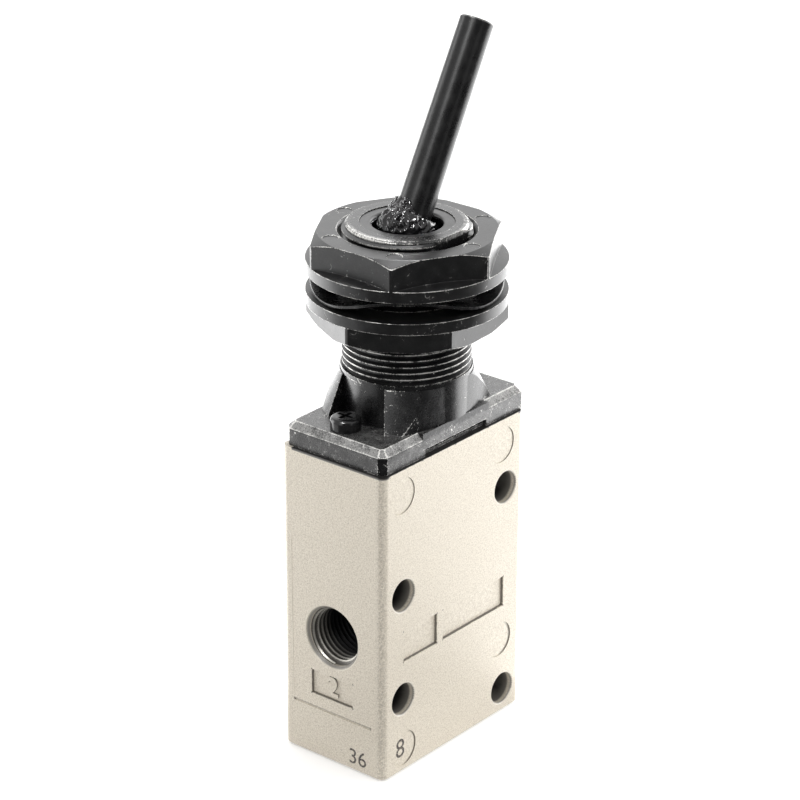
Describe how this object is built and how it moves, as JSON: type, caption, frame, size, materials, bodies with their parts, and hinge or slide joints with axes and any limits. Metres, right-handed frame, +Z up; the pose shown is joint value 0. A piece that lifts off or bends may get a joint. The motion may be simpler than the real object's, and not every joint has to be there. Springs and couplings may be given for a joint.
{
  "type": "hand lever air valve",
  "caption": "Block shaped air valve with threaded side ports, through holes, a threaded panel neck with flanged nuts and a wave washer, and a tilting toggle lever.",
  "frame": {"origin": "centre of the valve body's bottom face", "axes": "+Z up along the threaded neck, +X towards the inlet port, wide faces at -Y and +Y"},
  "size_m": [0.0365, 0.0308, 0.1138],
  "materials": {
    "cast": "satin",
    "housing": "satin",
    "screws": "gloss",
    "ring": "satin",
    "pin": "ground",
    "lever": "satin",
    "boot": "gloss",
    "rod": "ground",
    "guide": "turned",
    "spring": "drawn",
    "plunger": "ground",
    "bush": "turned",
    "rubber": "matt",
    "seat": "turned",
    "poppet": "turned",
    "plug": "turned",
    "clip": "phosphated",
    "nut": "satin",
    "washer": "blackened"
  },
  "bodies": {
    "valve": {"valve_body": "cast", "toggle_housing": "housing", "housing_screws": "screws", "neck_ring": "ring", "pivot_pin": "pin", "rod_guide": "guide", "return_spring": "spring", "plunger_bush": "bush", "plunger_seals": "rubber", "valve_seat": "seat", "poppet_spring": "spring", "bottom_plug": "plug", "plug_seal": "rubber", "retaining_clips": "clip"},
    "toggle": {"lever": "lever", "dust_boot": "boot"},
    "stem": {"push_rod": "rod", "plunger": "plunger"},
    "poppet_valve": {"poppet": "poppet", "poppet_seal": "rubber"},
    "panel_nut": {"upper_nut": "nut"},
    "back_nut": {"lower_nut": "nut", "wave_washer": "washer"}
  },
  "joints": [
    {"name": "lever_tilt", "type": "hinge", "parent": "valve", "child": "toggle", "pos_m": [0.0008, 0.0002, 0.0833], "axis": [0, 1, 0], "range_deg": [-58.5, 0]},
    {"name": "stem_stroke", "type": "slide", "parent": "valve", "child": "stem", "axis": [0, 0, 1], "range_m": [-0.0018, 0], "deforming": ["return_spring"]},
    {"name": "poppet_stroke", "type": "slide", "parent": "valve", "child": "poppet_valve", "axis": [0, 0, 1], "range_m": [-0.0012, 0], "deforming": ["poppet_spring"]},
    {"name": "panel_nut_travel", "type": "slide", "parent": "valve", "child": "panel_nut", "axis": [0, 0, 1], "range_m": [0, 0.004]},
    {"name": "back_nut_travel", "type": "slide", "parent": "valve", "child": "back_nut", "axis": [0, 0, 1], "range_m": [-0.006, 0]}
  ],
  "couplings": [
    {"joint": "stem_stroke", "follows": "lever_tilt", "m_per_rad": 0.0017628},
    {"joint": "poppet_stroke", "follows": "lever_tilt", "m_per_rad": 0.0011752}
  ]
}
